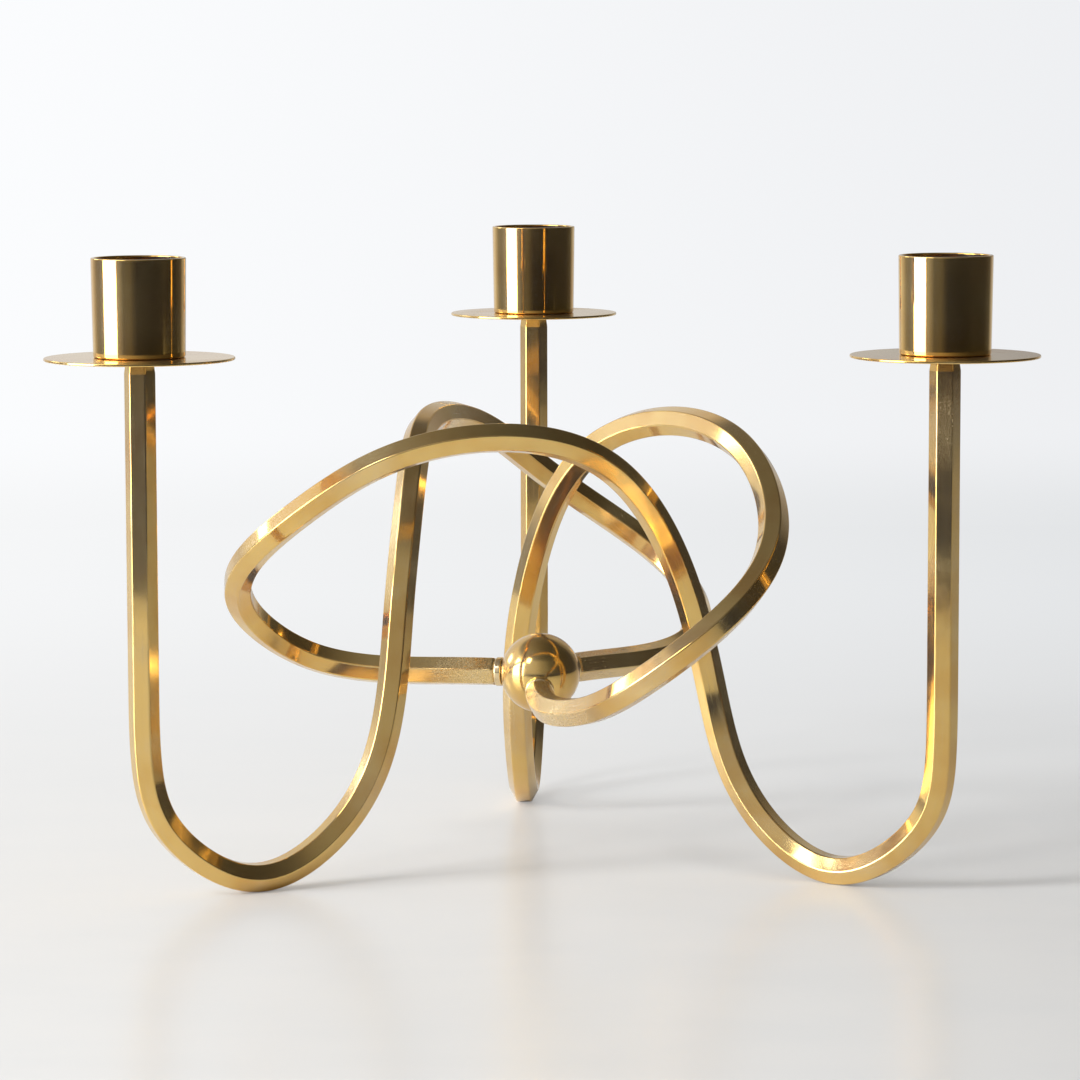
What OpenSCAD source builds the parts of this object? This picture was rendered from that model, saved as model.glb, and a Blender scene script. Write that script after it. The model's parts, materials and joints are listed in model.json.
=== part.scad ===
// Candlestick for three candles: three bent hexagonal brass bars that interlace round one small ball.
// Each bar leaves the ball, loops back past its neighbours, comes down into a foot and rises as a stem.
// The middle axis is Z, the feet stand on z = 0, and the stems lie behind, to the left and to the right.

/* [Bars] */
// Width of a hexagonal bar across its flats
bar_flats = 7.1; // [6:0.1:8]
// Distance of each upright stem from the middle axis
stem_circle_r = 118; // [105:1:135]
// Height of a loop's highest guide point above the middle of the ball
loop_rise = 67.3; // [55:0.1:80]
// Depth of a foot's lowest guide point below the middle of the ball
foot_drop = 48.4; // [42:0.1:60]
// Turn of a stem's flats about its own axis, in degrees
stem_turn = 54; // [0:1:59]
// Turn of the flats where a bar leaves the ball, in degrees
start_turn = 13; // [-15:1:30]
// The same for the bar that leaves the ball towards the front, in degrees
front_start_turn = -5; // [-15:1:30]
// Length of the slight taper at the top of a stem
taper_l = 3.4; // [2:0.1:6]
// How far the taper draws a stem's corners in
taper_in = 0.5; // [0.1:0.1:0.8]

/* [Centre ball] */
// Diameter of the ball that carries the three bars
ball_d = 21.4; // [19:0.1:26]
// Diameter of the round spigot on the inner end of a bar
spigot_d = 4; // [3:0.1:4.6]
// Length of a spigot inside the ball
spigot_l = 5; // [3:0.1:5.5]
// Outer diameter of the collar between the ball and a bar
collar_d = 7.8; // [6.6:0.1:9]
// Distance that a collar keeps between the ball and the end of a bar
collar_w = 1.5; // [1:0.1:2.5]

/* [Drip pans] */
// Height of the pans' undersides above the surface that the feet stand on
pan_h = 139.2; // [125:0.1:155]
// Outer diameter of a drip pan
pan_d = 48.5; // [38:0.5:60]
// Thickness of a pan's sheet
pan_t = 0.7; // [0.5:0.1:1.5]

/* [Candle cups] */
// Diameter of the candle that a cup holds
candle_d = 22; // [19:0.5:22.4]
// Play of the candle in its cup, on the diameter
candle_play = 0.2; // [0.1:0.1:0.6]
// Outer diameter of a cup at its foot
cup_foot_d = 23.4; // [23.4:0.1:28]
// Outer diameter of a cup at its rim
cup_rim_d = 24.1; // [23.8:0.1:30]
// Height of a cup
cup_h = 25.2; // [20:0.1:40]
// Thickness of a cup's floor under the head of its screw
cup_web_t = 1; // [0.6:0.1:2]

/* [Cup screws] */
// Diameter of the screw that clamps a cup and its pan to the stem
screw_d = 4; // [3:0.1:4.4]
// Length of a screw under its head
screw_l = 12; // [9:0.5:16]
// Diameter of a screw's head
screw_head_d = 7; // [5.6:0.1:8.4]
// Height of a screw's head
screw_head_h = 2.2; // [1.6:0.1:3]

/* [Fits] */
// Clearance left on each side where one piece sits in or on another
fit = 0.05; // [0.03:0.01:0.15]

/* [Hidden] */

brass = "#c9a758";
pale_brass = "#ddc68c";
dark_brass = "#9c7c3e";

// Azimuth of the stem at the back, in degrees, and of the other two, which share the circle alike
back = 90;
left = back + 360 / 3;
right = left + 360 / 3;

bar_sides = 6;
corner_r = bar_flats / 2 / cos(180 / bar_sides);
// What the taper leaves of a stem's width at its top
top_share = (corner_r - taper_in) / corner_r;
// Bevel round the inner end of a bar
end_bevel = 0.6;
// Rings of corners along the bent part of a bar
ring_count = 168;

ball_r = ball_d / 2;
bar_start_r = ball_r + collar_w;
// How deep a collar's blank reaches into the ball before the ball is cut out of it
collar_root = ball_r - sqrt(pow(ball_r, 2) - pow(collar_d / 2, 2)) + collar_w;
collar_edge = 0.4;

pan_bevel = 0.15;
cup_h0 = pan_h + fit + pan_t + fit;
cup_bore_d = candle_d + candle_play;
// The screw's head lies in a round recess, a little below the floor that the candle stands on
head_sink = 0.15;
cup_floor_t = cup_web_t + fit + screw_head_h + head_sink;
recess_d = screw_head_d + 4 * fit;
cup_foot_bevel = 0.4;
cup_rim_bevel = 0.2;
screw_h0 = cup_h0 + cup_web_t + fit;
screw_tip_h = screw_h0 - screw_l;
// Room between a screw's tip and the bottom of its hole
screw_tip_room = 1;
screw_tip_bevel = 0.5;
slot_w = 1;
slot_depth = 1;
hole_d = screw_d + 2 * fit;

// How far a cut runs past the face that it opens
overrun = 1;
$fn = 96;

// Guide points of a bar with its stem at azimuth 0, from the ball to the stem. The first two columns are
// shares of stem_circle_r. The last is a share of loop_rise above the ball and of foot_drop below it.
guide_shares = [
    [-0.18, -0.05, 0], [-0.36, -0.10, -0.02], [-0.52, -0.15, 0.02], [-0.60, -0.25, 0.16], [-0.59, -0.38, 0.33],
    [-0.48, -0.49, 0.51], [-0.32, -0.52, 0.70], [-0.16, -0.48, 0.90], [0, -0.39, 1], [0.16, -0.26, 1],
    [0.26, -0.12, 0.88], [0.33, -0.03, 0.63], [0.38, 0.02, 0.32], [0.41, 0.05, 0], [0.45, 0.05, -0.44],
    [0.55, 0.04, -0.78], [0.70, 0.03, -1], [0.84, 0.02, -0.93], [0.98, 0.01, -0.63], [1, 0, -0.29],
    [1, 0, 0.07], [1, 0, 0.37]];
// The front bar leaves the ball a little lower and further over, so its first two points differ
front_start_shares = [[-0.18, 0.01, -0.15], [-0.36, -0.08, -0.10]];

function shares_for(turn) =
    [for (i = [0 : len(guide_shares) - 1])
        turn == back && i < len(front_start_shares) ? front_start_shares[i] : guide_shares[i]];

function sized(shares) =
    [shares.x * stem_circle_r, shares.y * stem_circle_r, shares.z * (shares.z > 0 ? loop_rise : foot_drop)];

// The first point is mirrored behind the ball, so that the bar leaves the middle of the ball straight
function guide_points(turn) =
    let (points = [for (shares = shares_for(turn)) sized(shares)])
    concat([-points[0], [0, 0, 0]], points);

// Weights of four neighbouring guide points in a smooth curve, for its points and for its direction
function point_weights(u) =
    [pow(1 - u, 3), 3 * pow(u, 3) - 6 * pow(u, 2) + 4, -3 * pow(u, 3) + 3 * pow(u, 2) + 3 * u + 1, pow(u, 3)] / 6;

function direction_weights(u) =
    [-pow(1 - u, 2), 3 * pow(u, 2) - 4 * u, -3 * pow(u, 2) + 2 * u + 1, pow(u, 2)] / 2;

function weighted(points, first, weights) =
    weights[0] * points[first] + weights[1] * points[first + 1]
    + weights[2] * points[first + 2] + weights[3] * points[first + 3];

function unit(v) = v / norm(v);

// Part of v that is square to a direction, made one long
function squared(v, direction) = unit(v - (v * direction) * direction);

// Places along the bent part of a bar, each a point and the bar's direction there
function track(turn) =
    let (points = guide_points(turn), spans = len(points) - 3, start = bar_start_r / norm(points[2]))
    [for (i = [0 : ring_count])
        let (t = start + (spans - start) * i / ring_count, first = min(floor(t), spans - 1))
        [weighted(points, first, point_weights(t - first)),
         unit(weighted(points, first, direction_weights(t - first)))]];

// A sideways direction for each place, upward at the ball and carried on without spinning round the bar
function carried_sides(places) =
    [for (i = 0, side = squared([0, 0, 1], places[0][1]);
        i < len(places);
        i = i + 1, side = i < len(places) ? squared(side, places[i][1]) : side) side];

// Turn of the flats from the carried sides: it starts at first_turn and eases into last_turn
function eased_turn(first_turn, last_turn, share) =
    first_turn + (last_turn - first_turn) * (1 - pow(1 - share, 3));

function corners(point, direction, side, turn, radius) =
    [for (k = [0 : bar_sides - 1])
        let (angle = turn + (k + 0.5) * 360 / bar_sides)
        point + radius * (cos(angle) * side + sin(angle) * cross(direction, side))];

// Rings of corners of the bent part, measured from the middle of the ball, with the bevel of its inner end
function bent_rings(turn) =
    let (places = track(turn),
        sides = carried_sides(places),
        first_turn = turn == back ? front_start_turn : start_turn,
        last_turn = stem_turn - atan2(sides[ring_count].y, sides[ring_count].x),
        point = places[0][0],
        direction = places[0][1])
    concat(
        [corners(point, direction, sides[0], first_turn, corner_r - end_bevel),
         corners(point + end_bevel * direction, direction, sides[0], first_turn, corner_r)],
        [for (i = [1 : ring_count])
            corners(places[i][0], places[i][1], sides[i],
                eased_turn(first_turn, last_turn, i / ring_count), corner_r)]);

// The lowest corner of the three feet stands on z = 0
ball_h = -min([for (turn = [back, left, right]) for (ring = bent_rings(turn)) for (corner = ring) corner.z]);

function lifted(ring) = [for (corner = ring) corner + [0, 0, ball_h]];

// Closes a row of rings, all with the same number of corners, into one solid
module skin(rings) {
    n = len(rings[0]);
    last = (len(rings) - 1) * n;
    sides = [for (j = [0 : len(rings) - 2]) for (k = [0 : n - 1])
        let (a = j * n + k, b = j * n + (k + 1) % n)
        each [[a, a + n, b + n], [a, b + n, b]]];
    first_end = [for (k = [1 : n - 2]) [0, k, k + 1]];
    last_end = [for (k = [1 : n - 2]) [last, last + k + 1, last + k]];
    polyhedron([for (ring = rings) each ring], concat(sides, first_end, last_end));
}

// Puts children where a bar leaves the ball, with their Z axis along the bar and z = 0 at its end face
module at_bar_start(turn) {
    place = track(turn)[0];
    rotate(turn)
        translate(place[0] + [0, 0, ball_h])
            rotate([0, acos(place[1].z), atan2(place[1].y, place[1].x)])
                children();
}

module on_stem(turn, height) {
    rotate(turn)
        translate([stem_circle_r, 0, height])
            children();
}

module bar(turn) {
    bent = [for (ring = bent_rings(turn)) lifted(ring)];
    last = bent[len(bent) - 1];
    taper_start = [for (corner = last) [corner.x, corner.y, pan_h - taper_l]];
    stem_top = [for (corner = last)
        [stem_circle_r + (corner.x - stem_circle_r) * top_share, corner.y * top_share, pan_h]];
    color(brass)
        difference() {
            union() {
                rotate(turn)
                    skin(concat(bent, [taper_start, stem_top]));
                at_bar_start(turn)
                    translate([0, 0, -collar_w - spigot_l])
                        cylinder(d = spigot_d, h = collar_w + spigot_l + overrun);
            }
            on_stem(turn, screw_tip_h - screw_tip_room)
                cylinder(d = hole_d, h = pan_h - screw_tip_h + screw_tip_room + overrun);
        }
}

module centre_ball() {
    color(brass)
        difference() {
            translate([0, 0, ball_h])
                sphere(d = ball_d);
            for (turn = [back, left, right])
                at_bar_start(turn)
                    translate([0, 0, -collar_w - spigot_l - fit])
                        cylinder(d = spigot_d + 2 * fit, h = collar_w + spigot_l + fit + overrun);
        }
}

module collar(turn) {
    color(pale_brass)
        difference() {
            at_bar_start(turn)
                translate([0, 0, -collar_root])
                    rotate_extrude()
                        polygon([
                            [spigot_d / 2 + fit, 0],
                            [collar_d / 2, 0],
                            [collar_d / 2, collar_root - fit - collar_edge],
                            [collar_d / 2 - collar_edge, collar_root - fit],
                            [spigot_d / 2 + fit, collar_root - fit]]);
            translate([0, 0, ball_h])
                sphere(d = ball_d + 2 * fit);
        }
}

module drip_pan(turn) {
    color(brass)
        on_stem(turn, pan_h + fit)
            rotate_extrude()
                polygon([
                    [hole_d / 2, 0],
                    [pan_d / 2 - pan_bevel, 0],
                    [pan_d / 2, pan_bevel],
                    [pan_d / 2, pan_t - pan_bevel],
                    [pan_d / 2 - pan_bevel, pan_t],
                    [hole_d / 2, pan_t]]);
}

module candle_cup(turn) {
    color(brass)
        on_stem(turn, cup_h0)
            difference() {
                rotate_extrude()
                    polygon([
                        [0, 0],
                        [cup_foot_d / 2 - cup_foot_bevel, 0],
                        [cup_foot_d / 2, cup_foot_bevel],
                        [cup_rim_d / 2, cup_h - cup_rim_bevel],
                        [cup_rim_d / 2 - cup_rim_bevel, cup_h],
                        [0, cup_h]]);
                translate([0, 0, cup_floor_t])
                    cylinder(d = cup_bore_d, h = cup_h);
                translate([0, 0, cup_web_t])
                    cylinder(d = recess_d, h = cup_h);
                translate([0, 0, -overrun])
                    cylinder(d = hole_d, h = cup_floor_t + 2 * overrun);
            }
}

module cup_screw(turn) {
    color(dark_brass)
        on_stem(turn, screw_h0)
            difference() {
                union() {
                    cylinder(d = screw_head_d, h = screw_head_h);
                    translate([0, 0, screw_tip_bevel - screw_l])
                        cylinder(d = screw_d, h = screw_l);
                    translate([0, 0, -screw_l])
                        cylinder(d1 = screw_d - 2 * screw_tip_bevel, d2 = screw_d, h = screw_tip_bevel);
                }
                translate([-screw_head_d / 2 - overrun, -slot_w / 2, screw_head_h - slot_depth])
                    cube([screw_head_d + 2 * overrun, slot_w, slot_depth + overrun]);
            }
}

bar(back);  // bar_back
bar(left);  // bar_left
bar(right);  // bar_right
centre_ball();
collar(back);  // collar_back
collar(left);  // collar_left
collar(right);  // collar_right
drip_pan(back);  // drip_pan_back
drip_pan(left);  // drip_pan_left
drip_pan(right);  // drip_pan_right
candle_cup(back);  // candle_cup_back
candle_cup(left);  // candle_cup_left
candle_cup(right);  // candle_cup_right
cup_screw(back);  // cup_screw_back
cup_screw(left);  // cup_screw_left
cup_screw(right);  // cup_screw_right
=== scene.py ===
import json
import math

import bpy
import numpy as np
from mathutils import Matrix, Vector

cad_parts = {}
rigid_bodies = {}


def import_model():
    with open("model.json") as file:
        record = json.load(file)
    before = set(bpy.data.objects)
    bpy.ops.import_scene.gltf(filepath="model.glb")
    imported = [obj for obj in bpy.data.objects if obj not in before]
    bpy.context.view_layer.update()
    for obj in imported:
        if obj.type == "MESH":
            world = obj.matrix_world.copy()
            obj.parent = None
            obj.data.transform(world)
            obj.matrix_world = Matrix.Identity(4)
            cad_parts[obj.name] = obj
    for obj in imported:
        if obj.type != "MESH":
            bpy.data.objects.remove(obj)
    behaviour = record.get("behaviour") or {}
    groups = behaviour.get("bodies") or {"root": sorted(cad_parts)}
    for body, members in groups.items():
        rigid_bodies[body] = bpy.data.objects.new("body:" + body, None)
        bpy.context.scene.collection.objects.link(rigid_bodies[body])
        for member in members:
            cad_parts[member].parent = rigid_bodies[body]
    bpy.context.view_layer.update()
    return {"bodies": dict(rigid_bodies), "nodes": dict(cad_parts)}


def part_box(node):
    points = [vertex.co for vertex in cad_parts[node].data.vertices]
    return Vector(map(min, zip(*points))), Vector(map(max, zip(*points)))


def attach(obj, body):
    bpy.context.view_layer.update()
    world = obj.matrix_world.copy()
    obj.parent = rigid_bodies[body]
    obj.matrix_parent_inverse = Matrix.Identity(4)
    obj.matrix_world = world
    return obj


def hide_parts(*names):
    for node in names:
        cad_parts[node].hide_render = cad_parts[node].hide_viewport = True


# A brass candlestick: three bent hexagonal bars round a ball, each with a drip pan and a candle cup.
# Sizes are in millimetres, as in the model of the part, and meshes are made in metres.

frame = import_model()

MM = 0.001
BODY = next(iter(frame["bodies"]))
# Azimuth of each bar's stem, in degrees
TURNS = {"back": 90, "left": 210, "right": 330}

# Bars
BAR_FLATS = 7.1
# Rounding of a bar's edges
EDGE_R = 0.62
LOOP_RISE = 67.3
FOOT_DROP = 48.4
STEM_TURN = 54
START_TURN = 13
FRONT_START_TURN = -5
END_BEVEL = 0.6
TAPER_L = 3.4
TAPER_IN = 0.5
BENT_RINGS = 960
STEM_RINGS = 12
EDGE_STEPS = 4

# Collars between the ball and the bars
COLLAR_D = 7.8
COLLAR_W = 1.5
COLLAR_ROUND = 0.45
# What a collar leaves off at its two ends: inside the ball, and where the bar begins
COLLAR_BALL_GAP = 0.3
COLLAR_BAR_GAP = 0.02
SPIGOT_D = 4

# Drip pans and cups
SCREW_HOLE_D = 4.2
PAN_EDGE_R = 0.25
PAN_RINGS = 12
CUP_FOOT_D = 23.4
CUP_BORE_D = 22.2
CUP_FLOOR_T = 3.4
# The recess for the screw's head, and what it leaves of the cup's floor
CUP_RECESS_D = 7.2
CUP_WEB_T = 1
CUP_FOOT_R = 0.45
CUP_RIM_R = 0.28
CUP_INNER_R = 0.8
CUP_RECESS_R = 0.15

# Steps of a full turn, of the ball's profile and of a small rounding
LATHE_STEPS = 256
BALL_STEPS = 128
ROUND_STEPS = 8

# Guide points of a bar with its stem at azimuth 0: two columns are shares of the stem circle's radius,
# and the last is a share of LOOP_RISE above the ball and of FOOT_DROP below it
GUIDE_SHARES = [
    (-0.18, -0.05, 0), (-0.36, -0.10, -0.02), (-0.52, -0.15, 0.02), (-0.60, -0.25, 0.16), (-0.59, -0.38, 0.33),
    (-0.48, -0.49, 0.51), (-0.32, -0.52, 0.70), (-0.16, -0.48, 0.90), (0, -0.39, 1), (0.16, -0.26, 1),
    (0.26, -0.12, 0.88), (0.33, -0.03, 0.63), (0.38, 0.02, 0.32), (0.41, 0.05, 0), (0.45, 0.05, -0.44),
    (0.55, 0.04, -0.78), (0.70, 0.03, -1), (0.84, 0.02, -0.93), (0.98, 0.01, -0.63), (1, 0, -0.29),
    (1, 0, 0.07), (1, 0, 0.37)]
FRONT_START_SHARES = [(-0.18, 0.01, -0.15), (-0.36, -0.08, -0.10)]


def node_box(node):
    low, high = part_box(node)
    return np.array(low) / MM, np.array(high) / MM


ball_low, ball_high = node_box("centre_ball")
BALL_R = (ball_high - ball_low)[2] / 2
BALL_H = (ball_high + ball_low)[2] / 2
cup_low, cup_high = node_box("candle_cup_back")
STEM_CIRCLE_R = (cup_low + cup_high)[1] / 2
CUP_H0 = cup_low[2]
CUP_H = cup_high[2] - cup_low[2]
CUP_RIM_D = cup_high[0] - cup_low[0]
pan_low, pan_high = node_box("drip_pan_back")
PAN_H = pan_low[2]
PAN_D = pan_high[0] - pan_low[0]
PAN_T = pan_high[2] - pan_low[2]
STEM_TOP_H = node_box("bar_back")[1][2]


# Meshes

def finished(name, points, faces, normals, grain, node):
    """Makes a piece from points in mm, with smooth normals, that stands for one node of the part."""
    mesh = bpy.data.meshes.new(name)
    mesh.from_pydata([tuple(p) for p in np.asarray(points) * MM], [], faces)
    mesh.polygons.foreach_set("use_smooth", [True] * len(mesh.polygons))
    mesh.normals_split_custom_set_from_vertices([tuple(n) for n in normals])
    layer = mesh.attributes.new("grain", "FLOAT_VECTOR", "POINT")
    layer.data.foreach_set("vector", np.asarray(grain, dtype=np.float32).ravel())
    piece = bpy.data.objects.new(name, mesh)
    bpy.context.scene.collection.objects.link(piece)
    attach(piece, BODY)
    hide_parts(node)
    return piece


def tube_faces(rings, sides, closed=False):
    """Quads between rings of points, joined round, and from the last ring to the first where closed."""
    faces = []
    for j in range(rings if closed else rings - 1):
        for k in range(sides):
            a, b = j * sides + k, j * sides + (k + 1) % sides
            faces.append((a, b, (b + sides) % (rings * sides), (a + sides) % (rings * sides)))
    return faces


def arc(cx, cy, radius, start, end, steps):
    """Points of an arc, angles in degrees."""
    return [(cx + radius * math.cos(math.radians(start + (end - start) * i / steps)),
             cy + radius * math.sin(math.radians(start + (end - start) * i / steps))) for i in range(steps + 1)]


def lathe(name, outline, node, place):
    """Turns a closed outline of (radius, height) points round Z. It runs anticlockwise, with the axis on its left."""
    outline = [p for i, p in enumerate(outline) if i == 0 or math.dist(p, outline[i - 1]) > 1e-6]
    count = len(outline)
    flat_normals = np.zeros((count, 2))
    for i in range(count):
        run = np.subtract(outline[(i + 1) % count], outline[i])
        for j in (i, (i + 1) % count):
            flat_normals[j] += (run[1], -run[0])
    flat_normals /= np.linalg.norm(flat_normals, axis=1)[:, None]
    points, normals, grain = [], [], []
    turn = place.to_3x3()
    for (radius, height), (out, up) in zip(outline, flat_normals):
        for k in range(LATHE_STEPS):
            angle = 2 * math.pi * k / LATHE_STEPS
            c, s = math.cos(angle), math.sin(angle)
            points.append(place @ Vector((radius * c, radius * s, height)))
            normals.append(turn @ Vector((out * c, out * s, up)))
            grain.append((0, radius, height))
    return finished(name, points, tube_faces(count, LATHE_STEPS, closed=True), normals, grain, node)


# Bars

def unit(v):
    return v / np.linalg.norm(v)


def guide_points(where):
    shares = list(GUIDE_SHARES)
    if where == "back":
        shares[:len(FRONT_START_SHARES)] = FRONT_START_SHARES
    points = [np.array((x * STEM_CIRCLE_R, y * STEM_CIRCLE_R, z * (LOOP_RISE if z > 0 else FOOT_DROP)))
              for x, y, z in shares]
    return [-points[0], np.zeros(3)] + points


def curve_at(points, t):
    """Point and direction of the smooth curve through the guide points."""
    first = min(int(t), len(points) - 4)
    u = t - first
    near = np.array(points[first:first + 4])
    weights = np.array(((1 - u)**3, 3 * u**3 - 6 * u**2 + 4, -3 * u**3 + 3 * u**2 + 3 * u + 1, u**3)) / 6
    slopes = np.array((-(1 - u)**2, 3 * u**2 - 4 * u, -3 * u**2 + 2 * u + 1, u**2)) / 2
    return weights @ near, unit(slopes @ near)


def track(where):
    """Places along the bent part of a bar, each a point, a direction and a sideways direction."""
    points = guide_points(where)
    spans = len(points) - 3
    start = (BALL_R + COLLAR_W) / np.linalg.norm(points[2])
    places = []
    side = np.array((0.0, 0.0, 1.0))
    for i in range(BENT_RINGS + 1):
        point, direction = curve_at(points, start + (spans - start) * i / BENT_RINGS)
        side = unit(side - (side @ direction) * direction)
        places.append((point, direction, side))
    return places


def section():
    """Outline of the bar with its edges slightly rounded: distances across and angles of the normals."""
    outline = []
    corner = (BAR_FLATS / 2 - EDGE_R) / math.cos(math.pi / 6)
    for k in range(6):
        middle = math.radians(30 + 60 * k)
        for i in range(EDGE_STEPS + 1):
            normal = middle + math.radians(-30 + 60 * i / EDGE_STEPS)
            outline.append((corner * math.cos(middle) + EDGE_R * math.cos(normal),
                            corner * math.sin(middle) + EDGE_R * math.sin(normal), normal))
    return outline


def ring(point, direction, side, turn, scale=1.0):
    """The bar's outline at a place on its track, turned by degrees about the track."""
    across = np.cross(direction, side)
    points, normals = [], []
    for x, y, normal in section():
        c, s = math.cos(math.radians(turn)), math.sin(math.radians(turn))
        points.append(point + scale * ((x * c - y * s) * side + (x * s + y * c) * across))
        normals.append(math.cos(normal + math.radians(turn)) * side + math.sin(normal + math.radians(turn)) * across)
    return points, normals


def bar(where):
    places = track(where)
    first_turn = FRONT_START_TURN if where == "back" else START_TURN
    end_side = places[-1][2]
    last_turn = STEM_TURN - math.degrees(math.atan2(end_side[1], end_side[0]))
    spin = Matrix.Rotation(math.radians(TURNS[where]), 3, "Z")
    lift = np.array((0, 0, BALL_H))
    points, normals, grain = [], [], []
    flat = [(x, y) for x, y, _ in section()]

    def add(ring_points, ring_normals, at):
        for p, n, (x, y) in zip(ring_points, ring_normals, flat):
            points.append(spin @ Vector(p + lift))
            normals.append(spin @ Vector(n))
            grain.append((at, x, y))

    # The bevel at the inner end
    point, direction, side = places[0]
    bevelled = 1 - END_BEVEL / (BAR_FLATS / 2)
    bevel_points, bevel_normals = ring(point, direction, side, first_turn, bevelled)
    add(bevel_points, [unit(n - direction) for n in bevel_normals], -END_BEVEL)
    bevel_points, bevel_normals = ring(point + END_BEVEL * direction, direction, side, first_turn)
    add(bevel_points, [unit(n - 0.4 * direction) for n in bevel_normals], 0.0)

    # The bent part
    run = 0.0
    for i in range(2, BENT_RINGS + 1):
        point, direction, side = places[i]
        run += np.linalg.norm(point - places[i - 1][0])
        share = i / BENT_RINGS
        turn = first_turn + (last_turn - first_turn) * (1 - (1 - share)**3)
        add(*ring(point, direction, side, turn), run)

    # The upright stem and the slight taper at its top
    stem_from = places[-1][0][2]
    top = STEM_TOP_H - BALL_H
    top_share = 1 - TAPER_IN / (BAR_FLATS / 2 / math.cos(math.pi / 6))
    lean = TAPER_IN / TAPER_L
    start = 0.02
    up = np.array((0.0, 0.0, 1.0))
    for i in range(1, STEM_RINGS + 1):
        raised = np.array((STEM_CIRCLE_R, 0, stem_from + (top - TAPER_L - stem_from) * i / STEM_RINGS))
        add(*ring(raised, up, end_side, last_turn), run + raised[2] - stem_from)
    for height, scale in ((top - TAPER_L + start, 1 - (1 - top_share) * start / TAPER_L), (top, top_share)):
        raised = np.array((STEM_CIRCLE_R, 0, height))
        ring_points, ring_normals = ring(raised, up, end_side, last_turn, scale)
        add(ring_points, [unit(n + lean * up) for n in ring_normals], run + height - stem_from)

    sides = len(flat)
    rings = len(points) // sides
    faces = tube_faces(rings, sides)
    faces.append(tuple(reversed(range(sides))))
    faces.append(tuple(range((rings - 1) * sides, rings * sides)))
    return finished("bent_bar_" + where, points, faces, normals, grain, "bar_" + where)


def bar_start(where):
    """Frame of a bar's inner end: Z along the bar, origin at its end face."""
    point, direction, _ = track(where)[0]
    spin = Matrix.Rotation(math.radians(TURNS[where]), 4, "Z")
    point = spin @ Vector(point + np.array((0, 0, BALL_H)))
    direction = spin.to_3x3() @ Vector(direction)
    return Matrix.Translation(point) @ direction.to_track_quat("Z", "Y").to_matrix().to_4x4()


def collar(where):
    half, hole, r = COLLAR_D / 2, SPIGOT_D / 2, COLLAR_ROUND
    low = -(BALL_R - math.sqrt(BALL_R**2 - half**2) + COLLAR_W) + COLLAR_BALL_GAP
    high = -COLLAR_BAR_GAP
    outline = [(hole, high), (hole, low)]
    outline += arc(half - r, low + r, r, -90, 0, ROUND_STEPS)
    outline += arc(half - r, high - r, r, 0, 90, ROUND_STEPS)
    return lathe("collar_ring_" + where, outline, "collar_" + where, bar_start(where))


# Ball, pans and cups

def stem_place(where, height):
    angle = math.radians(TURNS[where])
    return Matrix.Translation((STEM_CIRCLE_R * math.cos(angle), STEM_CIRCLE_R * math.sin(angle), height))


def ball():
    # A hair-thin channel along the axis keeps the lathe's faces four-sided at the poles
    channel = 0.01
    outline = [p for p in arc(0, 0, BALL_R, -90, 90, BALL_STEPS) if p[0] > channel]
    outline = [(channel, -BALL_R)] + outline + [(channel, BALL_R)]
    return lathe("polished_ball", outline, "centre_ball", Matrix.Translation((0, 0, BALL_H)))


def drip_pan(where):
    hole, r = SCREW_HOLE_D / 2, PAN_EDGE_R
    edge = PAN_D / 2 - r
    radii = [edge * i / PAN_RINGS for i in range(2, PAN_RINGS)]
    outline = [(hole, PAN_T), (hole, 0)] + [(radius, 0) for radius in radii]
    outline += arc(edge, r, r, -90, 0, ROUND_STEPS)
    outline += arc(edge, PAN_T - r, r, 0, 90, ROUND_STEPS)
    outline += [(radius, PAN_T) for radius in reversed(radii)]
    return lathe("flat_pan_" + where, outline, "drip_pan_" + where, stem_place(where, PAN_H))


def candle_cup(where):
    foot, rim, bore = CUP_FOOT_D / 2, CUP_RIM_D / 2, CUP_BORE_D / 2
    hole, recess = SCREW_HOLE_D / 2, CUP_RECESS_D / 2
    slope = math.degrees(math.atan2(rim - foot, CUP_H))
    outline = [(hole, 0)]
    outline += arc(foot - CUP_FOOT_R, CUP_FOOT_R, CUP_FOOT_R, -90, -slope, ROUND_STEPS)
    outline += arc(rim - CUP_RIM_R, CUP_H - CUP_RIM_R, CUP_RIM_R, -slope, 90, ROUND_STEPS)
    outline += arc(bore + CUP_RIM_R, CUP_H - CUP_RIM_R, CUP_RIM_R, 90, 180, ROUND_STEPS)
    outline += arc(bore - CUP_INNER_R, CUP_FLOOR_T + CUP_INNER_R, CUP_INNER_R, 0, -90, ROUND_STEPS)
    outline += arc(recess + CUP_RECESS_R, CUP_FLOOR_T - CUP_RECESS_R, CUP_RECESS_R, 90, 180, ROUND_STEPS)
    outline += [(recess, CUP_WEB_T), (hole, CUP_WEB_T)]
    return lathe("turned_cup_" + where, outline, "candle_cup_" + where, stem_place(where, CUP_H0))


# Materials

def ramp(tree, source, low, high):
    """Rises smoothly from 0 at low to 1 at high, or falls where low is the larger."""
    node = tree.nodes.new("ShaderNodeMapRange")
    node.interpolation_type = "SMOOTHSTEP"
    node.inputs["From Min"].default_value = low
    node.inputs["From Max"].default_value = high
    tree.links.new(source, node.inputs["Value"])
    return node.outputs["Result"]


def maths(tree, operation, *values):
    node = tree.nodes.new("ShaderNodeMath")
    node.operation = operation
    for socket, value in zip(node.inputs, values):
        if isinstance(value, (int, float)):
            socket.default_value = value
        else:
            tree.links.new(value, socket)
    return node.outputs[0]


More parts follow.
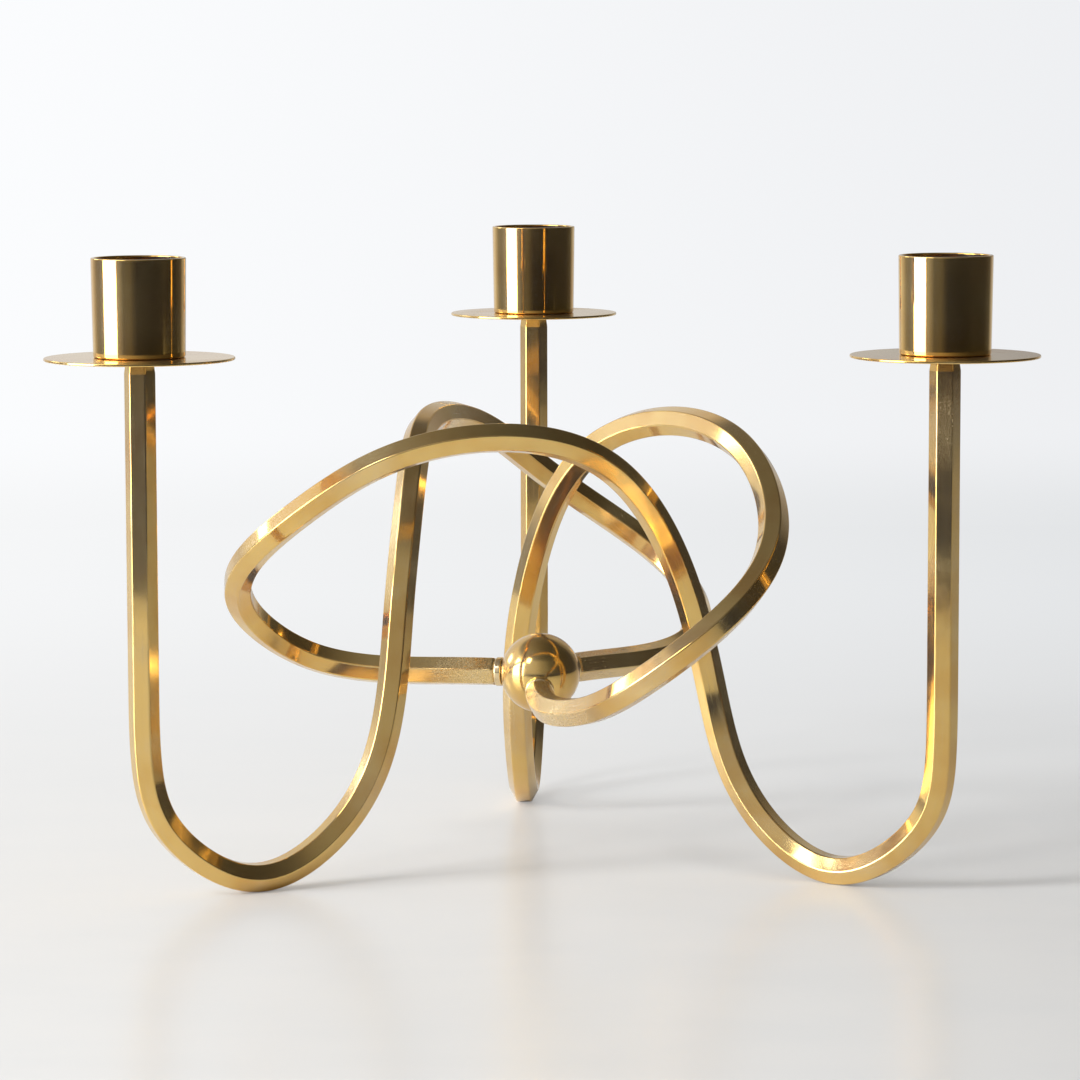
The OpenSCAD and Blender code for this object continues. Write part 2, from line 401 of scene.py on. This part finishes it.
def noise(tree, vector, scale, detail=2.0, stretch=None):
    if stretch is not None:
        mapping = tree.nodes.new("ShaderNodeMapping")
        mapping.inputs["Scale"].default_value = stretch
        tree.links.new(vector, mapping.inputs["Vector"])
        vector = mapping.outputs["Vector"]
    node = tree.nodes.new("ShaderNodeTexNoise")
    node.inputs["Scale"].default_value = scale
    node.inputs["Detail"].default_value = detail
    tree.links.new(vector, node.inputs["Vector"])
    return node.outputs["Fac"]


def blend(tree, factor, first, second, colour=False):
    node = tree.nodes.new("ShaderNodeMix")
    node.data_type = "RGBA" if colour else "FLOAT"
    tree.links.new(factor, node.inputs["Factor"])
    for socket, value in (("A", first), ("B", second)):
        # The mix node has sockets of the same name for each kind of value, so the fitting one is looked up
        socket = next(i for i in node.inputs if i.name == socket and i.type == ("RGBA" if colour else "VALUE"))
        if isinstance(value, (tuple, float)):
            socket.default_value = (*value, 1) if colour else value
        else:
            tree.links.new(value, socket)
    return next(o for o in node.outputs if o.type == ("RGBA" if colour else "VALUE"))


BRASS_LIGHT = (0.78, 0.515, 0.145)
BRASS_DEEP = (0.69, 0.395, 0.08)
BRASS_PALE = (0.88, 0.70, 0.40)
BRASS_DULL = (0.55, 0.36, 0.14)
# What full haze gives, and the share of it that is everywhere
HAZE = (0.74, 0.62, 0.40)
HAZE_ROUGHNESS = 0.5
HAZE_METALLIC = 0.7
HAZE_LEAST = 0.08
FILM_ROUGHNESS = 0.42
FILM_IOR = 1.65
# How far the fine lines are drawn out, for (length, across, across) and (turn, radius, height)
ALONG_BAR = (0.06, 2.4, 2.4)
ROUND_LATHE = (1.0, 3.0, 3.0)


def brass(name, light, deep, polish, film, haze, scratches, waves, grain_stretch, satin=0.0):
    """Polished brass: two close tones in soft patches, hazy patches made of specks, fine scratches, slow waves.
    The numbers are the roughness where it is clean, the weight of the thin film of handling on top, the shares of
    haze and of scratches from 0 to 1, and the height of the waves in mm. Satin is the share of haze that the
    cleaning after soldering has left round the ball."""
    material = bpy.data.materials.new(name)
    material.use_nodes = True
    tree = material.node_tree
    shader = tree.nodes["Principled BSDF"]
    shader.inputs["Coat Weight"].default_value = film
    shader.inputs["Coat Roughness"].default_value = FILM_ROUGHNESS
    shader.inputs["Coat IOR"].default_value = FILM_IOR
    place = tree.nodes.new("ShaderNodeTexCoord").outputs["Object"]
    grain = tree.nodes.new("ShaderNodeAttribute")
    grain.attribute_name = "grain"
    grain = grain.outputs["Vector"]

    tone = ramp(tree, noise(tree, place, 55, 3), 0.35, 0.7)
    patches = ramp(tree, noise(tree, place, 34, 4), 0.50, 0.68)
    specks = ramp(tree, noise(tree, place, 3200, 2), 0.40, 0.64)
    lines = ramp(tree, noise(tree, grain, 1.0, 2, grain_stretch), 0.58, 0.72)
    sandy = maths(tree, "MULTIPLY_ADD", specks, 0.6, 0.4)
    hazy = maths(tree, "MULTIPLY", maths(tree, "MULTIPLY", patches, sandy), haze)
    hazy = maths(tree, "ADD", hazy, HAZE_LEAST * haze)
    if satin:
        away = tree.nodes.new("ShaderNodeVectorMath")
        away.operation = "DISTANCE"
        away.inputs[1].default_value = (0, 0, BALL_H * MM)
        tree.links.new(place, away.inputs[0])
        near = ramp(tree, away.outputs["Value"], 0.05, 0.02)
        hazy = maths(tree, "MULTIPLY_ADD", maths(tree, "MULTIPLY", near, sandy), satin, hazy)
    hazy = maths(tree, "MULTIPLY_ADD", lines, scratches, hazy)

    clean = blend(tree, tone, light, deep, colour=True)
    tree.links.new(blend(tree, hazy, clean, HAZE, colour=True), shader.inputs["Base Color"])
    tree.links.new(blend(tree, hazy, polish, HAZE_ROUGHNESS), shader.inputs["Roughness"])
    tree.links.new(blend(tree, hazy, 1.0, HAZE_METALLIC), shader.inputs["Metallic"])

    slow = tree.nodes.new("ShaderNodeBump")
    slow.inputs["Strength"].default_value = 1.0
    slow.inputs["Distance"].default_value = waves * MM
    tree.links.new(noise(tree, place, 90, 1), slow.inputs["Height"])
    fine = tree.nodes.new("ShaderNodeBump")
    fine.inputs["Strength"].default_value = 0.6
    fine.inputs["Distance"].default_value = 0.0015 * MM
    tree.links.new(noise(tree, grain, 1.0, 3, grain_stretch), fine.inputs["Height"])
    tree.links.new(slow.outputs["Normal"], fine.inputs["Normal"])
    tree.links.new(fine.outputs["Normal"], shader.inputs["Normal"])
    return material


bar_metal = brass("bar_brass", BRASS_LIGHT, BRASS_DEEP, 0.06, 0.8, 0.42, 0.10, 0.03, ALONG_BAR, satin=0.45)
ball_metal = brass("ball_brass", BRASS_LIGHT, BRASS_DEEP, 0.11, 0.8, 0.3, 0.08, 0.012, ROUND_LATHE)
collar_metal = brass("collar_brass", BRASS_PALE, BRASS_LIGHT, 0.16, 1.0, 0.6, 0.15, 0.02, ROUND_LATHE)
pan_metal = brass("pan_brass", BRASS_LIGHT, BRASS_DEEP, 0.09, 0.4, 0.4, 0.2, 0.02, ROUND_LATHE)
cup_metal = brass("cup_brass", BRASS_LIGHT, BRASS_DEEP, 0.05, 0.4, 0.10, 0.05, 0.012, ROUND_LATHE)
screw_metal = brass("screw_brass", BRASS_DULL, BRASS_DEEP, 0.22, 1.0, 0.5, 0.3, 0.02, ROUND_LATHE)

ball().data.materials.append(ball_metal)
for where in TURNS:
    bar(where).data.materials.append(bar_metal)
    collar(where).data.materials.append(collar_metal)
    drip_pan(where).data.materials.append(pan_metal)
    candle_cup(where).data.materials.append(cup_metal)
    screw = frame["nodes"]["cup_screw_" + where]
    screw.data.materials.clear()
    screw.data.materials.append(screw_metal)


# Floor, backdrop and light

# The white paper as the camera sees it, and its foot, where the table meets it. Painted shade: the paper is darker
# towards the right, away from the window on the left, and darker again at its foot.
BACKDROP_LEFT = (0.97, 0.98, 0.995)
BACKDROP_RIGHT = (0.845, 0.855, 0.875)
BACKDROP_FOOT_LEFT = (0.925, 0.932, 0.94)
BACKDROP_FOOT_RIGHT = (0.755, 0.77, 0.785)


def floor():
    """A pale table top that ends in front of the camera's side, as a table does."""
    mesh = bpy.data.meshes.new("floor")
    left, right, front, behind = -0.95, 1.3, -0.64, 0.8
    mesh.from_pydata([(left, front, 0), (right, front, 0), (right, behind, 0), (left, behind, 0)], [], [(0, 1, 2, 3)])
    sheet = bpy.data.objects.new("floor", mesh)
    bpy.context.scene.collection.objects.link(sheet)
    material = bpy.data.materials.new("floor_paint")
    material.use_nodes = True
    tree = material.node_tree
    shader = tree.nodes["Principled BSDF"]
    shader.inputs["Roughness"].default_value = 0.27
    shader.inputs["Specular IOR Level"].default_value = 0.38
    place = tree.nodes.new("ShaderNodeTexCoord").outputs["Object"]
    cloudy = ramp(tree, noise(tree, place, 14, 3, (1, 2, 1)), 0.35, 0.7)
    paint = blend(tree, cloudy, (0.84, 0.835, 0.825), (0.82, 0.82, 0.815), colour=True)
    tree.links.new(paint, shader.inputs["Base Color"])
    # Away from the candlestick the floor gives way to the white backdrop, as seamless paper does
    length = tree.nodes.new("ShaderNodeVectorMath")
    length.operation = "LENGTH"
    tree.links.new(place, length.inputs[0])
    parts = tree.nodes.new("ShaderNodeSeparateXYZ")
    tree.links.new(place, parts.inputs[0])
    far = maths(tree, "MAXIMUM", ramp(tree, length.outputs["Value"], 0.30, 0.62),
                ramp(tree, parts.outputs["Y"], -0.26, 0.60))
    paper = tree.nodes.new("ShaderNodeEmission")
    # Painted shade: the paper that the camera sees on the far floor darkens from left to right, away from the window
    shade = ramp(tree, parts.outputs["X"], -0.31, 0.39)
    tree.links.new(blend(tree, shade, BACKDROP_FOOT_LEFT, BACKDROP_FOOT_RIGHT, colour=True), paper.inputs["Color"])
    seen = tree.nodes.new("ShaderNodeLightPath").outputs["Is Camera Ray"]
    mixed = tree.nodes.new("ShaderNodeMixShader")
    tree.links.new(maths(tree, "MULTIPLY", far, seen), mixed.inputs["Fac"])
    tree.links.new(shader.outputs[0], mixed.inputs[1])
    tree.links.new(paper.outputs[0], mixed.inputs[2])
    tree.links.new(mixed.outputs[0], tree.nodes["Material Output"].inputs["Surface"])
    mesh.materials.append(material)


DAYLIGHT = (0.97, 0.985, 1.0)
LAMPLIGHT = (1.0, 0.99, 0.975)
# Light that the metal sees round the object: azimuth in degrees, clockwise from the back, and level.
# White paper hangs behind, the window is on the left, and the room in front and on the right is dim.
WALLS = [(-180, 0.03), (-172, 0.06), (-163, 0.12), (-146, 0.13), (-130, 0.4), (-92, 0.3), (-74, 0.2), (-60, 0.28),
         (-36, 0.85), (-3, 0.8), (4, 0.6), (8, 0.36), (14, 0.5), (22, 0.7), (36, 0.5), (52, 0.1), (75, 0.04),
         (144, 0.025), (180, 0.03)]
UPPER_WALLS = [(-180, 0.38), (-160, 0.58), (-146, 0.62), (-120, 0.8), (-100, 1.05), (-60, 1.0), (-40, 0.8),
               (-20, 0.78), (-2, 0.76), (4, 0.6), (8, 0.36), (20, 0.5), (36, 0.3), (56, 0.06), (120, 0.06),
               (150, 0.14), (180, 0.36)]
CEILING_LEFT = (0.3, 0.295, 0.29)
CEILING_RIGHT = (0.07, 0.07, 0.068)


def round_the_room(tree, turn, levels):
    """Colours along the azimuth, which comes in as a share of a full turn."""
    node = tree.nodes.new("ShaderNodeValToRGB")
    stops = node.color_ramp.elements
    stops.remove(stops[1])
    for i, (azimuth, level) in enumerate(levels):
        stop = stops.new(azimuth / 360 + 0.5) if i else stops[0]
        stop.color = (level, level * 0.98, level * 0.95, 1)
    tree.links.new(turn, node.inputs["Fac"])
    return node.outputs["Color"]


def surroundings():
    """Pale paper to the camera, with painted shade towards the right and at its foot. To the metal it is a dim room
    with white paper behind the object.
    """
    world = bpy.data.worlds.new("studio")
    bpy.context.scene.world = world
    world.use_nodes = True
    tree = world.node_tree
    direction = tree.nodes.new("ShaderNodeSeparateXYZ")
    tree.links.new(tree.nodes.new("ShaderNodeTexCoord").outputs["Generated"], direction.inputs[0])
    x, y, z = direction.outputs
    turn = maths(tree, "MULTIPLY_ADD", maths(tree, "ARCTAN2", x, y), 0.5 / math.pi, 0.5)
    walls = round_the_room(tree, turn, WALLS)
    upper_walls = round_the_room(tree, turn, UPPER_WALLS)
    ceiling = blend(tree, ramp(tree, x, -0.7, 0.5), CEILING_LEFT, CEILING_RIGHT, colour=True)
    room = blend(tree, ramp(tree, z, -0.02, 0.12), walls, upper_walls, colour=True)
    room = blend(tree, ramp(tree, z, 0.60, 0.76), room, ceiling, colour=True)
    # Painted shade in the camera's backdrop: darker towards the right, away from the window on the left, and at the
    # foot
    aside = ramp(tree, x, -0.16, 0.22)
    paper = blend(tree, aside, BACKDROP_LEFT, BACKDROP_RIGHT, colour=True)
    foot = blend(tree, aside, BACKDROP_FOOT_LEFT, BACKDROP_FOOT_RIGHT, colour=True)
    paper = blend(tree, ramp(tree, z, -0.111, -0.088), foot, paper, colour=True)
    seen = tree.nodes.new("ShaderNodeLightPath").outputs["Is Camera Ray"]
    tree.links.new(blend(tree, seen, room, paper, colour=True), tree.nodes["Background"].inputs["Color"])


def soft_light(name, place, towards, width, height, power, colour, gloss=True, matt=True):
    """Area light that shines on glossy surfaces, on matt ones or on both."""
    data = bpy.data.lights.new(name, "AREA")
    data.shape = "RECTANGLE"
    data.size, data.size_y = width, height
    data.energy = power
    data.color = colour
    lamp = bpy.data.objects.new(name, data)
    lamp.location = place
    lamp.rotation_euler = (Vector(towards) - Vector(place)).to_track_quat("-Z", "Y").to_euler()
    lamp.visible_camera = False
    lamp.visible_glossy = gloss
    lamp.visible_diffuse = matt
    bpy.context.scene.collection.objects.link(lamp)


def camera():
    """Stands where the photograph was taken from, fitted in mm from the middle of the ball."""
    distance, above, pitch, yaw, roll = 1164.6, 169.97, 6.563, 0.817, -0.143
    focal_px, frame_px = 4366.9, 1080
    data = bpy.data.cameras.new("camera")
    data.sensor_width = 36
    data.lens = focal_px / frame_px * data.sensor_width
    eye = bpy.data.objects.new("camera", data)
    heading = math.radians(yaw)
    eye.location = Vector((-distance * math.sin(heading), -distance * math.cos(heading), BALL_H + above)) * MM
    down = math.radians(pitch)
    look = Vector((math.sin(heading) * math.cos(down), math.cos(heading) * math.cos(down), -math.sin(down)))
    turn = look.to_track_quat("-Z", "Y").to_matrix() @ Matrix.Rotation(math.radians(roll), 3, "Z")
    eye.rotation_euler = turn.to_euler()
    bpy.context.scene.collection.objects.link(eye)
    bpy.context.scene.camera = eye


floor()
surroundings()
# Windows that the metal and the floor's gloss reflect
soft_light("window", (-1.3, -0.53, 0.40), (0, -0.53, 0.40), 0.96, 1.1, 29, DAYLIGHT, matt=False)
soft_light("high_window", (-1.05, -0.77, 1.17), (0, 0, 0.08), 0.85, 0.40, 8, DAYLIGHT, matt=False)
soft_light("side_window", (-1.25, 0.67, 0.55), (0, 0, 0.06), 0.38, 0.32, 2.8, DAYLIGHT, matt=False)
# The windows' brighter middle, which draws the shadows
soft_light("window_middle", (-1.9, -0.78, 0.55), (0, 0, 0.05), 0.42, 0.9, 50, DAYLIGHT, gloss=False)
soft_light("high_window_middle", (-1.05, -0.77, 1.17), (0, 0, 0.08), 0.4, 0.3, 8, DAYLIGHT, gloss=False)
soft_light("ceiling", (-0.1, 0.3, 1.9), (-0.1, 0.3, 0), 2.4, 2.4, 11, LAMPLIGHT, gloss=False)
camera()
bpy.context.scene.view_settings.view_transform = "Standard"
